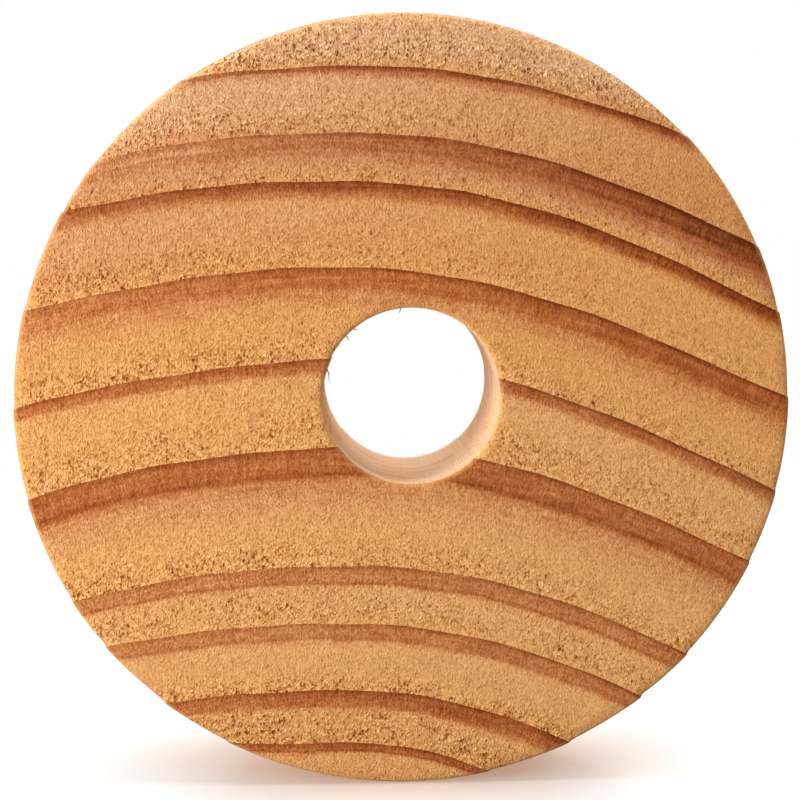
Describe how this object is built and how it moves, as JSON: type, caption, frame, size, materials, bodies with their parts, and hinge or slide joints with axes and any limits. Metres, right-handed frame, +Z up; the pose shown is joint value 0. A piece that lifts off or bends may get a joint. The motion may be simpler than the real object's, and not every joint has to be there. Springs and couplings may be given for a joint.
{
  "type": "cedar hanger ring",
  "caption": "Solid cedar disc with a plain through bore, which slips over a clothes hanger's hook to scent and protect clothes.",
  "frame": {"origin": "on the bore's axis, halfway between the two flat faces", "axes": "+Z up as the ring stands on its rim, +Y along the bore from the front face to the back face, +X to the right seen from the front"},
  "size_m": [0.045, 0.01, 0.045],
  "materials": {
    "cedar": "bare sawn and sanded cedar, end grain on both flat faces, no varnish"
  },
  "bodies": {
    "root": {"cedar_ring": "cedar"}
  },
  "joints": []
}
